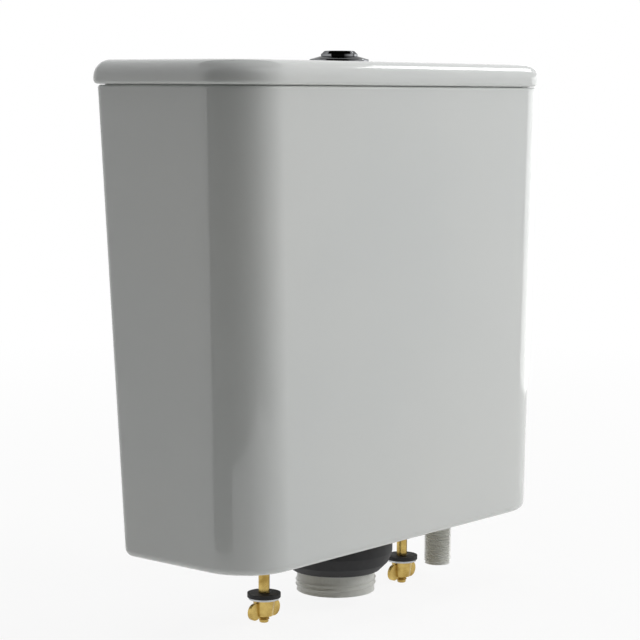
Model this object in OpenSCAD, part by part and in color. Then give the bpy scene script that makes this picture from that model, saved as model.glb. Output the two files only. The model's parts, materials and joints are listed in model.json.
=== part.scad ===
// Close-coupled dual-flush cistern: china tank and lid, split push button,
// lever-lifted flush valve, cup-float fill valve and pan fixings.
// Millimetres, +Z up, front towards -Y, origin on the outlet axis at the pan shelf.

/* [Tank] */
// Width of the tank at its rim
tank_w = 359; // [320:1:420]
// Depth of the tank at its rim
tank_d = 138; // [124:1:180]
// Depth of the tank at its base
base_d = 121; // [120:1:140]
// Distance of the outlet axis behind the front wall
front_y = 69; // [66:0.5:69]
// Height of the rim above the pan shelf
tank_h = 325; // [300:1:380]
// Draw-in of each side at the base
side_taper = 8; // [0:0.5:16]
// Radius of the front corners
front_r = 40; // [20:1:50]
// Radius of the rear corners
rear_r = 9; // [7:0.5:20]
// Thickness of the china walls
wall = 9; // [7:0.5:9]
// Height of the tank floor above the pan shelf
floor_z = 14; // [12:0.5:20]
// Round-over along the base edge
base_round = 6; // [3:0.5:7]
// Depth of the nut seats sunk into the underside
seat_d = 4; // [2:0.5:6]

/* [Lid] */
// Height of the lid above the tank rim
lid_t = 17; // [14:0.5:24]
// Overhang of the lid past the rim
overhang = 3; // [1.5:0.5:6]
// Thickness of the lid web around the button
lid_web = 8; // [6:0.5:10]
// Round-over of the lid's top edge
lid_round = 12; // [4:0.5:12]
// Shadow gap between the lid's edge and the rim
lid_gap = 0.5; // [0.3:0.1:2]
// Depth of the locating lip inside the tank
lip_h = 5; // [3:0.5:8]

/* [Push button] */
// Radius of the bezel flange
bezel_r = 21.5; // [20.5:0.5:26]
// Radius of the two-part button
button_r = 13.35; // [13:0.05:14]
// Height of the button above the lid
button_rise = 8.4; // [7.5:0.1:10]
// Height of the bezel cone above the lid
bezel_rise = 4.4; // [3.5:0.1:5]
// Travel of each button
press = 7; // [5:0.5:7.5]
// Distance of each push rod from the middle
rod_x = 8.5; // [8.4:0.1:8.8]
// Radius of the push rods
rod_r = 2; // [1.5:0.1:2.2]

/* [Flush valve] */
// Thread radius of the outlet tail
tail_r = 29.8; // [28:0.1:31]
// Length of the tail below the pan shelf
tail_l = 46; // [42:1:60]
// Bore radius of the outlet
outlet_r = 24; // [22:0.5:24]
// Outer radius of the tower
tower_r = 33; // [33:0.5:34]
// Depth of the lever pivots below the rim
lever_drop = 63; // [60:1:80]
// Lever arm on the rod side
push_arm = 14; // [13:0.5:16]
// Lever arm on the lift side
lift_arm = 20; // [18:0.5:24]
// Outer radius of the overflow tube
stem_r = 15; // [13:0.5:16]

/* [Fill valve] */
// Distance of the inlet from the side of the rim
fill_in = 61.5; // [60:0.5:64]
// Inlet position along the depth
fill_y = -6; // [-12:1:0]
// Thread radius of the inlet shank
shank_r = 10.48; // [9:0.01:12]
// Length of the shank below the pan shelf
shank_l = 46; // [36:1:60]
// Radius of the float cup
cup_r = 36; // [30:1:37]
// Height of the float cup
cup_h = 60; // [40:1:65]
// Rise of the float from empty to full
float_rise = 15; // [10:0.5:18]

/* [Fixings] */
// Distance of each coupling bolt from the side of the rim
bolt_in = 99.5; // [98:0.5:104]
// Bolt radius where it grips the pan shelf
bolt_r = 4; // [4:0.1:4.2]
// Clear length of bolt for the pan shelf
grip_l = 30; // [20:1:40]
// Distance of each wall hole from the middle
wall_hole_x = 70; // [50:1:90]
// Radius of the wall holes
wall_hole_r = 4; // [3:0.1:5]

/* [Fits] */
// Gap around sliding and turning pieces
slide_gap = 0.3; // [0.2:0.05:0.4]
// Radial gap of pins in their bores
pin_gap = 0.05; // [0.02:0.01:0.1]
// Gap between the lid lip and the tank wall
lip_gap = 2; // [1.5:0.1:3]

/* [Hidden] */
$fn = 64;
china = [0.93, 0.93, 0.92];
chrome = [0.75, 0.77, 0.8];
white_plastic = [0.9, 0.91, 0.92];
grey_plastic = [0.55, 0.58, 0.62];
blue_plastic = [0.35, 0.5, 0.75];
rubber = [0.14, 0.14, 0.15];
steel = [0.66, 0.67, 0.69];
brass = [0.78, 0.66, 0.36];

// China shells
corner_steps = 16;
round_steps = 5;
rim_round = 2;
floor_fillet = 4;
least_r = 4;
lid_low_round = 3;
lid_top_round = min(lid_round, lid_t - lid_gap - lid_low_round - 0.5);
lid_edge_z = tank_h + lid_gap;
land_in = wall / 2 + 0.5;
lip_t = 5;
cavity_round = 3;
lid_top = tank_h + lid_t;
lid_under = lid_top - lid_web;
rear_y = tank_d - front_y;
rear_taper = tank_d - base_d;
wall_hole_drop = 40;
wall_hole_z = tank_h - wall_hole_drop;
wall_hole_y = rear_y - rear_taper * (1 - wall_hole_z / tank_h);

// Push button
barrel_r = 16.5;
barrel_hole_gap = 0.8;
barrel_l = 22;
barrel_floor = 3;
barrel_z = lid_top - barrel_l;
spring_z = barrel_z + barrel_floor;
button_bore_r = button_r + slide_gap;
button_top = lid_top + button_rise;
button_h = button_rise + 4;
button_z = button_top - button_h;
bezel_edge = 2.4;
button_bevel_w = 2.8;
button_bevel_h = 2.4;
edge_soft = 0.4;
split_r = 24;
split_x = -4;
split_gap = 0.6;
socket_h = 8;
collar_r = 3.6;
collar_h = 2.5;
spring_mean_r = 4.1;
spring_wire_r = 0.45;
spring_turns = 5;
gasket_t = 1.5;
bezel_nut_h = 7;
bezel_nut_r = 21;
gasket_r = 24;

// Flush valve
washer_t = 3;
flange_z = floor_z + washer_t;
flange_t = 4;
flange_r = 38.5;
flange_top = flange_z + flange_t;
seat_h = 12;
seat_top = flange_top + seat_h;
tail_neck_r = tail_r - 0.3;
tail_free = 16;
tail_hole_r = tail_r + 2;
outlet_seat_r = 42.5;
nut_gap = 0.3;
backnut_h = 12;
backnut_r = 34.5;
doughnut_r = 42;
doughnut_z = -tail_l + tail_free;
tower_wall = 3;
tower_in = tower_r - tower_wall;
tower_tab_r = tower_r + 2.6;
tower_tab_h = 3.6;
hook_gap = 0.4;
pivot_z = tank_h - lever_drop;
pivot_x = rod_x + push_arm;
tip_x = pivot_x + lift_arm;
tower_drop = 63;
tower_top = pivot_z - tower_drop;
overflow_drop = 34;
overflow_z = pivot_z - overflow_drop;
lever_turn = asin(press / push_arm);
stem_lift = lift_arm * sin(lever_turn);
lever_w = 8;
hub_r = 4.5;
pin_r = 2;
pad_rise = 2.5;
tip_r = 2.5;
rod_gap = 0.4;
rod_tip_z = pivot_z + pad_rise + rod_gap;
cheek_t = 3;
cheek_in = lever_w / 2 + slide_gap;
cheek_out = cheek_in + cheek_t;
bridge_drop = 16;
bridge_z = pivot_z - bridge_drop;
bridge_t = 4;
post_y = 24;
post_w = 12;
post_t = 4;
leg_grip = 3;
leg_drop = 40;
cheek_room = 7.5;
post_top = bridge_z + bridge_t / 2;
nib_gap = 0.5;
nib_z = pivot_z + tip_r + nib_gap;
nib_t = 5;
strip_t = 4;
strip_w = 10;
strip_gap = 3;
strip_x = tip_x + tip_r + strip_gap + strip_t / 2;
yoke_rise = 7;
yoke_z = tower_top + yoke_rise;
yoke_t = 8;
seal_t = 3;
seal_r = 29;
carrier_h = 18;
carrier_dish = 6;
clamp_h = 6;
clamp_w = 6;
guide_t = 6;
guide_drop = 17;
guide_span = 60;
guide_high = tower_top - guide_drop;
guide_low = guide_high - guide_span;
stop_t = 4;
stop_gap = 0.8;
half_float_r = 11;
half_float_h = 37;
half_float_gap = 6;
half_float_z = guide_low + guide_t + half_float_gap;
window_h = 42;
stem_float_h = 66;
stem_float_gap = 3;
stem_float_z = seat_top + window_h + stem_float_gap * 2;

// Fill valve
fill_x = tank_w / 2 - fill_in;
arm_drop = 93;
arm_z = tank_h - arm_drop;
arm_l = cup_r + rod_r;
arm_rest = atan(float_rise / arm_l);
arm_t = 5;
arm_rod_z = arm_z - float_rise;
head_drop = 42;
head_z = arm_z - head_drop;
head_h = 20;
head_r = 21;
head_neck_h = 6;
head_neck_t = 2.5;
head_cone_h = 5;
pilot_x = 10;
pilot_r = 3.2;
membrane_t = 2;
cap_z = head_z + head_h + membrane_t;
cap_t = 4;
riser_r = 14;
riser_wall = 2.8;
riser_low_r = riser_r - riser_wall - 0.2;
riser_in_head = 15;
riser_top = head_z + riser_in_head;
lock_h = 12;
lock_r = 17;
lock_room = 20;
riser_overlap = 24;
cup_room = 5;
cup_z = head_z - float_rise - cup_room - cup_h;
cup_t = 2;
riser_z = cup_z - lock_room;
cup_guide_r = riser_r + slide_gap + 0.1;
arm_collar_off = arm_t / 2 / cos(arm_rest) + 4 * tan(arm_rest) + 0.5;
shank_neck_r = shank_r - 0.28;
shank_nut_h = 12;
shank_nut_r = 19;
shank_nut_rim = 20.5;
shank_nut_rim_t = 3;
shank_hole_r = shank_r + 1.5;
shank_seat_r = 22.5;
shank_flange_r = 20;
inlet_r = 4;
filter_r = 6;
filter_l = 20;

// Fixings
bolt_x = tank_w / 2 - bolt_in;
bolt_thread_r = bolt_r - 0.2;
bolt_hole_r = bolt_r + 1.5;
bolt_seat_r = 13;
bolt_bore_r = bolt_r + pin_gap;
hex_r = 7.5;
bolt_head_h = 5.5;
steel_t = 1.5;
steel_r = 11;
rubber_r = 12;
bolt_nut_h = 6.5;
bolt_nut_z = seat_d - steel_t - bolt_nut_h;
grip_top = bolt_nut_z - 0.2;
grip_low = grip_top - grip_l;
wing_h = 12;
wing_hub_r = 6.5;
wing_seat_r = 8;
wing_x = 10;
wing_r = 6;
wing_t = 2.5;
bolt_end = grip_low - washer_t - steel_t - wing_h - 5;

// Quarter arc as points
function arc(c, r, from) =
    [for (i = [0:corner_steps])
        let (a = from + 90 * i / corner_steps)
        [c[0] + r * cos(a), c[1] + r * sin(a)]];

// Plan outline at height z, with its own front and rear corner radii
function outline(half_w, front, rear, rf, rr, z) =
    [for (p = concat(
            arc([half_w - rr, rear - rr], rr, 0),
            arc([rr - half_w, rear - rr], rr, 90),
            arc([rf - half_w, front + rf], rf, 180),
            arc([half_w - rf, front + rf], rf, 270)))
        [p[0], p[1], z]];

// Tank section at height z, drawn in by inset
function tank_ring(z, inset, draw_z = undef) =
    let (k = 1 - (is_undef(draw_z) ? z : draw_z) / tank_h)
    outline(tank_w / 2 - side_taper * k - inset, inset - front_y,
        rear_y - rear_taper * k - inset,
        max(front_r - inset, least_r), max(rear_r - inset, least_r), z);

// Lid section at height z, drawn in by inset
function lid_ring(z, inset) =
    outline(tank_w / 2 + overhang - inset, inset - front_y - overhang,
        rear_y + overhang - inset,
        max(front_r + overhang - inset, least_r), max(rear_r + overhang - inset, least_r), z);

// Skin through a stack of sections with equal point counts
module loft(rings) {
    n = len(rings[0]);
    last = len(rings) - 1;
    polyhedron(
        points = [for (r = rings) each r],
        faces = concat(
            [[for (i = [0:n - 1]) i]],
            [[for (i = [n - 1:-1:0]) last * n + i]],
            [for (j = [0:last - 1], i = [0:n - 1])
                [j * n + i, (j + 1) * n + i, (j + 1) * n + (i + 1) % n]],
            [for (j = [0:last - 1], i = [0:n - 1])
                [j * n + i, (j + 1) * n + (i + 1) % n, j * n + (i + 1) % n]]));
}

module ring(ri, ro, z0, z1) {
    translate([0, 0, z0])
        rotate_extrude()
            translate([ri, 0])
                square([ro - ri, z1 - z0]);
}

module turned(profile) {
    rotate_extrude()
        polygon(profile);
}

module along_y(r, from, to) {
    translate([0, from, 0])
        rotate([-90, 0, 0])
            cylinder(r = r, h = to - from);
}

module at_fill() {
    translate([fill_x, fill_y, 0])
        children();
}

module at_bolts() {
    for (s = [-1, 1])
        translate([s * bolt_x, 0, 0])
            children();
}

// China

module tank() {
    color(china)
        difference() {
            loft(concat(
                [for (i = [0:round_steps])
                    let (t = 90 * i / round_steps)
                    tank_ring(base_round * (1 - cos(t)), base_round * (1 - sin(t)))],
                [for (i = [0:round_steps])
                    let (t = 90 * i / round_steps)
                    tank_ring(tank_h - rim_round * (1 - sin(t)), rim_round * (1 - cos(t)))]));
            loft(concat(
                [for (i = [0:round_steps])
                    let (t = 90 * i / round_steps)
                    tank_ring(floor_z + floor_fillet * (1 - cos(t)),
                        wall + floor_fillet * (1 - sin(t)))],
                [for (i = [0:round_steps])
                    let (t = 90 * i / round_steps)
                    tank_ring(tank_h - rim_round * (1 - sin(t)), wall - rim_round * (1 - cos(t)))],
                [tank_ring(tank_h + 1, wall - rim_round)]));
            floor_hole(tail_hole_r, outlet_seat_r);
            at_fill()
                floor_hole(shank_hole_r, shank_seat_r);
            at_bolts()
                floor_hole(bolt_hole_r, bolt_seat_r);
            for (s = [-1, 1])
                translate([s * wall_hole_x, 0, wall_hole_z])
                    along_y(wall_hole_r, wall_hole_y - wall - 6, wall_hole_y + 6);
        }
}

module floor_hole(hole_r, seat_r) {
    translate([0, 0, -1])
        cylinder(r = hole_r, h = floor_z + 2);
    translate([0, 0, -1])
        cylinder(r = seat_r, h = seat_d + 1);
}

module lid() {
    lip_out = wall + lip_gap;
    lip_in = lip_out + lip_t;
    color(china)
        difference() {
            union() {
                loft(concat(
                    [for (i = [0:round_steps])
                        let (t = 90 * i / round_steps)
                        lid_ring(lid_edge_z + lid_low_round * (1 - cos(t)),
                            lid_low_round * (1 - sin(t)))],
                    [for (i = [0:2 * round_steps])
                        let (t = 45 * i / round_steps)
                        lid_ring(lid_top - lid_top_round * (1 - sin(t)),
                            lid_top_round * (1 - cos(t)))]));
                loft([tank_ring(tank_h, land_in, tank_h),
                    tank_ring(lid_edge_z + 1, land_in, tank_h)]);
                loft([tank_ring(tank_h - lip_h, lip_out + 1, tank_h),
                    tank_ring(tank_h - lip_h + 1, lip_out, tank_h),
                    tank_ring(tank_h + 1, lip_out, tank_h)]);
            }
            loft([tank_ring(tank_h - lip_h - 1, lip_in, tank_h),
                tank_ring(lid_under - cavity_round, lip_in, tank_h),
                tank_ring(lid_under, lip_in + cavity_round, tank_h)]);
            translate([0, 0, tank_h])
                cylinder(r = barrel_r + barrel_hole_gap, h = lid_t + 1);
        }
}

// Push button

module button_bezel() {
    lip = 0.6;
    color(chrome)
        difference() {
            turned([[0, barrel_z], [barrel_r - 1, barrel_z], [barrel_r, barrel_z + 1],
                [barrel_r, lid_top], [bezel_r - edge_soft, lid_top], [bezel_r, lid_top + edge_soft],
                [bezel_r, lid_top + bezel_edge - edge_soft], [bezel_r - edge_soft, lid_top + bezel_edge],
                [button_bore_r + lip, lid_top + bezel_rise],
                [button_bore_r, lid_top + bezel_rise - lip],
                [button_bore_r, spring_z], [0, spring_z]]);
            for (s = [-1, 1])
                translate([s * rod_x, 0, barrel_z - 1])
                    cylinder(r = rod_r + slide_gap, h = barrel_floor + 2);
        }
}

module bezel_gasket() {
    color(rubber)
        ring(barrel_r + barrel_hole_gap, gasket_r, lid_under - gasket_t, lid_under);
}

module bezel_nut() {
    z = lid_under - gasket_t - bezel_nut_h;
    color(white_plastic)
        difference() {
            union() {
                turned([[0, z], [bezel_nut_r - 1, z], [bezel_nut_r, z + 1],
                    [bezel_nut_r, z + bezel_nut_h - 2], [gasket_r - 0.5, z + bezel_nut_h - 2],
                    [gasket_r - 0.5, z + bezel_nut_h], [0, z + bezel_nut_h]]);
                for (a = [0:60:300])
                    rotate([0, 0, a])
                        translate([bezel_nut_r - 1.5, -2, z + 1.6])
                            cube([3, 4, bezel_nut_h - 3]);
            }
            translate([0, 0, z - 1])
                cylinder(r = barrel_r + nut_gap, h = bezel_nut_h + 2);
        }
}

module button_plug() {
    bevel_r = button_r - button_bevel_w;
    translate([0, 0, button_z])
        turned([[0, 0], [button_r, 0], [button_r, button_h - button_bevel_h],
            [button_r - edge_soft, button_h - button_bevel_h + edge_soft * 0.7],
            [bevel_r + edge_soft, button_h - edge_soft / 2], [bevel_r - edge_soft, button_h],
            [0, button_h]]);
}

module split_round(gap) {
    translate([split_x + split_r, 0, button_z - 1])
        cylinder(r = split_r + gap, h = button_h + 2);
}

module rod_socket(s) {
    translate([s * rod_x, 0, button_z - 1])
        cylinder(r = rod_r + pin_gap, h = socket_h + 1);
}

module full_button() {
    color(chrome)
        difference() {
            intersection() {
                button_plug();
                split_round(-split_gap / 2);
            }
            rod_socket(1);
        }
}

module half_button() {
    color(chrome)
        difference() {
            button_plug();
            split_round(split_gap / 2);
            rod_socket(-1);
        }
}

module push_rod() {
    top = button_z + socket_h - 0.2;
    turned([[0, rod_tip_z], [0.8, rod_tip_z], [rod_r, rod_tip_z + 1.2],
        [rod_r, barrel_z - slide_gap - collar_h], [collar_r, barrel_z - slide_gap - collar_h],
        [collar_r, barrel_z - slide_gap], [rod_r, barrel_z - slide_gap],
        [rod_r, top - 0.5], [rod_r - 0.5, top], [0, top]]);
}

module full_push_rod() {
    color(white_plastic)
        translate([rod_x, 0, 0])
            push_rod();
}

module half_push_rod() {
    color(white_plastic)
        translate([-rod_x, 0, 0])
            push_rod();
}

// Round-wire helix, one unbroken tube
module helix(mean_r, wire_r, turns, z0, z1) {
    per_turn = 8;
    sides = 6;
    low = z0 + wire_r;
    pitch = (z1 - z0 - 2 * wire_r) / turns;
    steps = turns * per_turn;
    line = [for (i = [0:steps])
        let (a = 360 * i / per_turn)
        [mean_r * cos(a), mean_r * sin(a), low + pitch * i / per_turn]];
    echo(spring_gap = min([for (i = [0:steps], j = [i + per_turn / 2:1:steps])
        norm(line[i] - line[j])]) - 2 * wire_r);
    loft([for (i = [0:steps])
        let (a = 360 * i / per_turn, z = low + pitch * i / per_turn)
        [for (j = [0:sides - 1])
            let (b = 360 * j / sides, r = mean_r + wire_r * cos(b))
            [r * cos(a), r * sin(a), z - wire_r * sin(b)]]]);
}

module full_button_spring() {
    color(steel)
        translate([rod_x, 0, 0])
            helix(spring_mean_r, spring_wire_r, spring_turns, spring_z, button_z);
}

module half_button_spring() {
    color(steel)
        translate([-rod_x, 0, 0])
            helix(spring_mean_r, spring_wire_r, spring_turns, spring_z, button_z);
}

// Flush valve, fixed pieces

module valve_base() {
    hook_in = tower_r + 1;
    hook_out = flange_r - 0.3;
    hook_wall = tower_tab_r + hook_gap;
    hook_z = flange_top + tower_tab_h + hook_gap;
    color(white_plastic)
        union() {
            turned([[outlet_r, -tail_l], [tail_r - 0.8, -tail_l], [tail_r, -tail_l + 0.8],
                [tail_r, doughnut_z], [tail_neck_r, doughnut_z], [tail_neck_r, flange_z],
                [flange_r, flange_z], [flange_r, flange_top], [tower_in - 0.5, flange_top],
                [tower_in - 0.5, seat_top - 3], [outlet_r + 4, seat_top - 3],
                [outlet_r + 3.2, seat_top], [outlet_r + 2, seat_top], [outlet_r, seat_top - 4]]);
            for (a = [15:120:255])
                rotate([0, 0, a])
                    rotate_extrude(angle = 30)
                        polygon([[hook_wall, flange_top - 1], [hook_out, flange_top - 1],
                            [hook_out, hook_z + 3], [hook_in, hook_z + 3], [hook_in, hook_z],
                            [hook_wall, hook_z]]);
        }
}

module base_washer() {
    color(rubber)
        ring(tail_neck_r + nut_gap, flange_r, floor_z, flange_z);
}

module base_backnut() {
    z = seat_d - backnut_h;
    color(white_plastic)
        difference() {
            union() {
                turned([[0, z], [backnut_r - 4, z], [backnut_r - 3, z + 1],
                    [backnut_r - 3, seat_d - 3], [backnut_r, seat_d - 3], [backnut_r, seat_d],
                    [0, seat_d]]);
                for (a = [0:45:315])
                    rotate([0, 0, a])
                        translate([backnut_r - 4.5, -3, z + 1.6])
                            cube([3.6, 6, backnut_h - 4]);
            }
            translate([0, 0, z - 1])
                cylinder(r = tail_r + nut_gap, h = backnut_h + 2);
        }
}

module doughnut_seal() {
    nut_low = seat_d - backnut_h;
    bore = tail_r + nut_gap;
    pocket = backnut_r + 0.6;
    color(rubber)
        turned([[bore, doughnut_z], [doughnut_r - 9, doughnut_z], [doughnut_r - 3, doughnut_z + 6],
            [doughnut_r, doughnut_z + 14], [doughnut_r, -0.5], [pocket, -0.5], [pocket, nut_low],
            [bore, nut_low]]);
}

module valve_tower() {
    window_z = seat_top + stem_float_gap;
    tab_lift = 0.3;
    color(white_plastic)
        difference() {
            union() {
                turned([[tower_in, flange_top], [tower_r, flange_top], [tower_r, tower_top],
                    [stem_r + slide_gap, tower_top], [stem_r + slide_gap, tower_top - 3],
                    [tower_in, tower_top - 3]]);
                for (a = [10:120:250])
                    rotate([0, 0, a])
                        rotate_extrude(angle = 40)
                            translate([tower_r - 1, flange_top + tab_lift])
                                square([tower_tab_r - tower_r + 1, tower_tab_h - tab_lift]);
                for (s = [-1, 1])
                    tower_post(s);
                strip_guide(guide_low);
                strip_guide(guide_high);
            }
            for (a = [0:90:270])
                rotate([0, 0, a])
                    translate([tower_in - 8, -15, window_z])
                        cube([20, 30, window_h]);
            for (a = [45:90:315])
                rotate([0, 0, a])
                    translate([stem_r + 9, 0, tower_top - 4])
                        cylinder(r = 4, h = 5);
        }
}

module tower_post(s) {
    tooth = 1;
    difference() {
        translate([-post_w / 2, s * post_y - post_t / 2, tower_top - 1])
            cube([post_w, post_t, post_top - tower_top + 1]);
        for (i = [0:4])
            translate([-post_w / 2 - 1, s * (post_y + post_t / 2) - tooth, tower_top + 4 + 3.5 * i])
                cube([post_w + 2, 2 * tooth, 1.5]);
    }
}

module strip_guide(z) {
    room = slide_gap + 0.1;
    difference() {
        translate([-strip_x - 6, -strip_w / 2 - 4, z])
            cube([strip_x + 6 - tower_in - 1, strip_w + 8, guide_t]);
        translate([-strip_x - strip_t / 2 - room, -strip_w / 2 - room, z - 1])
            cube([strip_t + 2 * room, strip_w + 2 * room, guide_t + 2]);
    }
}

module lever_bridge() {
    fit = 0.2;
    leg_w = post_w + 2 * leg_grip;
    leg_t = post_t + 2 * (leg_grip - 0.8);
    leg_z = pivot_z - leg_drop;
    plate_x = pivot_x + cheek_room;
    plate_y = post_y + leg_t / 2;
    color(blue_plastic)
        difference() {
            union() {
                translate([-plate_x, -plate_y, bridge_z])
                    cube([2 * plate_x, 2 * plate_y, bridge_t]);
                for (s = [-1, 1])
                    translate([-leg_w / 2, s * post_y - leg_t / 2, leg_z])
                        cube([leg_w, leg_t, bridge_z + bridge_t - leg_z]);
                for (s = [-1, 1], side = [-1, 1])
                    translate([s * pivot_x, 0, 0])
                        cheek(side, bridge_z + bridge_t - 1, pivot_z);
            }
            for (s = [-1, 1])
                translate([-post_w / 2 - fit, s * post_y - post_t / 2 - fit, leg_z - 1])
                    cube([post_w + 2 * fit, post_t + 2 * fit, post_top + fit - leg_z + 1]);
            for (s = [-1, 1])
                translate([s * pivot_x, 0, pivot_z])
                    along_y(pin_r + pin_gap, -cheek_out - 1, cheek_out + 1);
            translate([0, 0, bridge_z - 1])
                cylinder(r = stem_r - 1, h = bridge_t + 2);
        }
}

// Bearing ear on one side of a lever, from z0 up to the pivot
module cheek(side, z0, z1) {
    y0 = side > 0 ? cheek_in : -cheek_out;
    translate([-hub_r, y0, z0])
        cube([2 * hub_r, cheek_t, z1 - z0]);
    translate([0, 0, z1])
        along_y(hub_r, y0, y0 + cheek_t);
}

module pin() {
    head_t = 1.2;
    along_y(pin_r, -cheek_out - 0.8, cheek_out + 0.8);
    along_y(pin_r + 1.2, -cheek_out - 0.1 - head_t, -cheek_out - 0.1);
    along_y(pin_r + 1.2, cheek_out + 0.1, cheek_out + 0.1 + head_t);
}

module pivot_pins() {
    color(steel)
        union() {
            for (s = [-1, 1])
                translate([s * pivot_x, 0, pivot_z])
                    pin();
            translate([fill_x, fill_y, arm_z])
                pin();
        }
}

// Flush valve, moving pieces

module lever() {
    difference() {
        union() {
            along_y(hub_r, -lever_w / 2, lever_w / 2);
            translate([-push_arm - 3.5, -lever_w / 2, pad_rise - 4])
                cube([push_arm + 3.5, lever_w, 4]);
            translate([0, -lever_w / 2, -2])
                cube([lift_arm, lever_w, 4]);
            translate([lift_arm, 0, 0])
                along_y(tip_r, -lever_w / 2, lever_w / 2);
        }
        along_y(pin_r + 2 * pin_gap, -lever_w, lever_w);
    }
}

module full_lever() {
    color(grey_plastic)
        translate([pivot_x, 0, pivot_z])
            lever();
}

module half_lever() {
    color(grey_plastic)
        translate([-pivot_x, 0, pivot_z])
            mirror([1, 0, 0])
                lever();
}

// Hook that the outer tip of a lever lifts, standing on a strip
module lift_hook(z0) {
    reach = strip_x + strip_t / 2 - tip_x + 6.5;
    translate([strip_x - strip_t / 2, -strip_w / 2, z0])
        cube([strip_t, strip_w, nib_z + nib_t - z0]);
    translate([strip_x + strip_t / 2 - reach, -strip_w / 2, nib_z])
        cube([reach, strip_w, nib_t]);
}

module overflow_stem() {
    stem_z = seat_top - 8;
    stem_wall = 2.5;
    color(white_plastic)
        difference() {
            union() {
                translate([0, 0, stem_z])
                    cylinder(r = stem_r, h = overflow_z - stem_z);
                translate([0, -strip_w / 2, yoke_z])
                    cube([strip_x + strip_t / 2, strip_w, yoke_t]);
                lift_hook(yoke_z);
            }
            translate([0, 0, stem_z - 1])
                cylinder(r = stem_r - stem_wall, h = overflow_z - stem_z + 2);
        }
}

module seal_carrier() {
    z = seat_top + seal_t;
    bore = stem_r + pin_gap;
    color(white_plastic)
        turned([[bore, z], [seal_r - 1, z], [seal_r - 1, z + carrier_dish / 2],
            [stem_r + carrier_dish, z + carrier_dish], [stem_r + carrier_dish / 2, z + carrier_h],
            [bore, z + carrier_h]]);
}

module flush_seal() {
    color(rubber)
        ring(stem_r + pin_gap, seal_r, seat_top, seat_top + seal_t);
}

module seal_clamp() {
    bore = stem_r + pin_gap;
    color(white_plastic)
        turned([[bore, seat_top - clamp_h], [stem_r + clamp_w - 2, seat_top - clamp_h],
            [stem_r + clamp_w, seat_top - clamp_h / 2], [stem_r + clamp_w, seat_top],
            [bore, seat_top]]);
}

module stem_float() {
    r = tower_in - 3;
    z = stem_float_z;
    top = z + stem_float_h;
    bore = stem_r + pin_gap;
    color(blue_plastic)
        turned([[bore, z], [r - 2, z], [r, z + 2], [r, top - 5], [r - 5, top], [bore, top]]);
}

module half_lift_rod() {
    low = guide_low - stem_lift - stop_gap - stop_t;
    ear = 3;
    color(grey_plastic)
        union() {
            mirror([1, 0, 0])
                lift_hook(low);
            translate([-strip_x - strip_t / 2, -strip_w / 2 - ear, low])
                cube([strip_t, strip_w + 2 * ear, stop_t]);
        }
}

module half_float() {
    fit = pin_gap;
    color(blue_plastic)
        difference() {
            translate([-strip_x, 0, 0])
                turned([[0, half_float_z], [half_float_r - 1.5, half_float_z],
                    [half_float_r, half_float_z + 1.5],
                    [half_float_r, half_float_z + half_float_h - 1.5],
                    [half_float_r - 1.5, half_float_z + half_float_h],
                    [0, half_float_z + half_float_h]]);
            translate([-strip_x - strip_t / 2 - fit, -strip_w / 2 - fit, half_float_z - 1])
                cube([strip_t + 2 * fit, strip_w + 2 * fit, half_float_h + 2]);
        }
}

// Fill valve

module inlet_shank() {
    nut_low = seat_d - shank_nut_h - 0.5;
    channel = floor_z + 10;
    top = riser_z + riser_overlap;
    color(white_plastic)
        at_fill()
            difference() {
                turned([[inlet_r, filter_l - shank_l], [filter_r, filter_l - shank_l],
                    [filter_r, -shank_l], [shank_r - 0.6, -shank_l], [shank_r, -shank_l + 0.6],
                    [shank_r, nut_low], [shank_neck_r, nut_low], [shank_neck_r, flange_z],
                    [shank_flange_r, flange_z], [shank_flange_r, flange_top - 1],
                    [shank_flange_r - 1, flange_top], [riser_low_r, flange_top],
                    [riser_low_r, top], [riser_low_r - 2, top], [riser_low_r - 2, channel],
                    [inlet_r + 1.5, channel], [inlet_r + 1.5, top], [inlet_r, top]]);
                for (a = [0:90:270])
                    rotate([0, 0, a])
                        translate([riser_low_r - 3, -2.5, channel + 1])
                            cube([4, 5, 14]);
            }
}

module shank_washer() {
    color(rubber)
        at_fill()
            ring(shank_neck_r + nut_gap, shank_flange_r, floor_z, flange_z);
}

module shank_backnut() {
    z = seat_d - shank_nut_h;
    color(white_plastic)
        at_fill()
            difference() {
                union() {
                    translate([0, 0, z])
                        cylinder(r = shank_nut_r, h = shank_nut_h - 1, $fn = 6);
                    translate([0, 0, seat_d - shank_nut_rim_t])
                        cylinder(r = shank_nut_rim, h = shank_nut_rim_t);
                }
                translate([0, 0, z - 1])
                    cylinder(r = shank_r + nut_gap, h = shank_nut_h + 2);
            }
}

module inlet_filter() {
    r = filter_r - pin_gap;
    slots = 8;
    color(blue_plastic)
        at_fill()
            difference() {
                turned([[r - 1.6, -shank_l], [r, -shank_l], [r, 2 - shank_l], [r - 0.8, 2 - shank_l],
                    [r - 0.8, filter_l - shank_l - 1], [0, filter_l - shank_l - 1],
                    [0, filter_l - shank_l - 2], [r - 1.6, filter_l - shank_l - 2]]);
                for (i = [0:slots - 1])
                    rotate([0, 0, 360 * i / slots])
                        translate([r - 3, -0.6, 4 - shank_l])
                            cube([4, 1.2, filter_l - 8]);
            }
}

module riser_lock() {
    z = riser_z - lock_h;
    bore = riser_low_r + pin_gap;
    color(blue_plastic)
        at_fill()
            difference() {
                turned([[bore, z], [lock_r - 1, z], [lock_r, z + 1], [lock_r, riser_z - 1],
                    [lock_r - 1, riser_z], [bore, riser_z]]);
                for (a = [0:30:330])
                    rotate([0, 0, a])
                        translate([lock_r, 0, z - 1])
                            cylinder(r = 1.2, h = lock_h + 2);
            }
}

module upper_riser() {
    color(white_plastic)
        at_fill()
            ring(riser_r - riser_wall, riser_r, riser_z, riser_top);
}

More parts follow.
